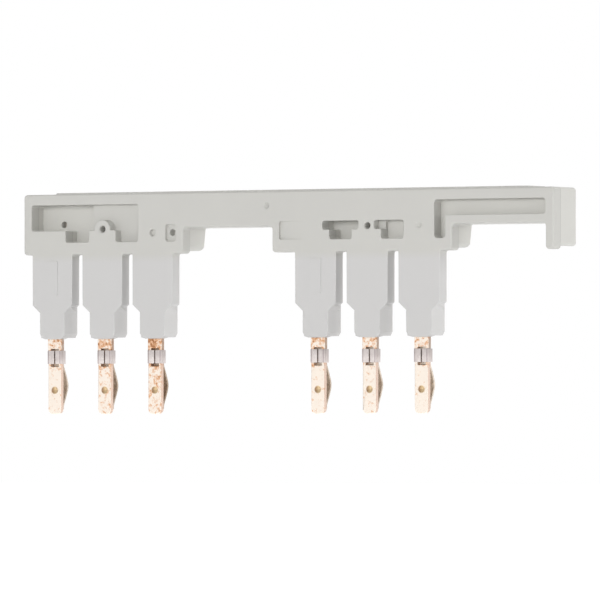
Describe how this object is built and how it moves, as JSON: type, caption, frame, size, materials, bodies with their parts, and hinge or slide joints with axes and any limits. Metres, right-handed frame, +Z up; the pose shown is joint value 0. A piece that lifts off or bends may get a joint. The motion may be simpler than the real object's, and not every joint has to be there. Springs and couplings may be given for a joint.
{
  "type": "contactor parallel link",
  "caption": "Moulded grey bar with hanging legs and copper plug pins that joins the like poles of neighbouring contactors in parallel.",
  "frame": {"origin": "in the middle plane of the plug pins, at the height of the leg ends, on the line where the two contactors meet", "axes": "+X along the bar to its hooked end, -Y the pocketed front, +Z up; the pins point to -Z, the way they plug in"},
  "size_m": [0.0895, 0.007, 0.0328],
  "materials": {
    "housing_plastic": "fine moulded texture, light grey",
    "busbar_copper": "bare copper, bright with brown tarnish spots",
    "spring_copper": "bare copper alloy, slightly darker",
    "band_tin": "tinned sheet, satin"
  },
  "bodies": {
    "root": {"housing": "housing_plastic", "busbar_1": "busbar_copper", "busbar_2": "busbar_copper", "busbar_3": "busbar_copper", "contact_spring_1": "spring_copper", "contact_spring_2": "spring_copper", "contact_spring_3": "spring_copper", "contact_spring_4": "spring_copper", "contact_spring_5": "spring_copper", "contact_spring_6": "spring_copper", "clip_band_1": "band_tin", "clip_band_2": "band_tin", "clip_band_3": "band_tin", "clip_band_4": "band_tin", "clip_band_5": "band_tin", "clip_band_6": "band_tin"}
  },
  "joints": []
}
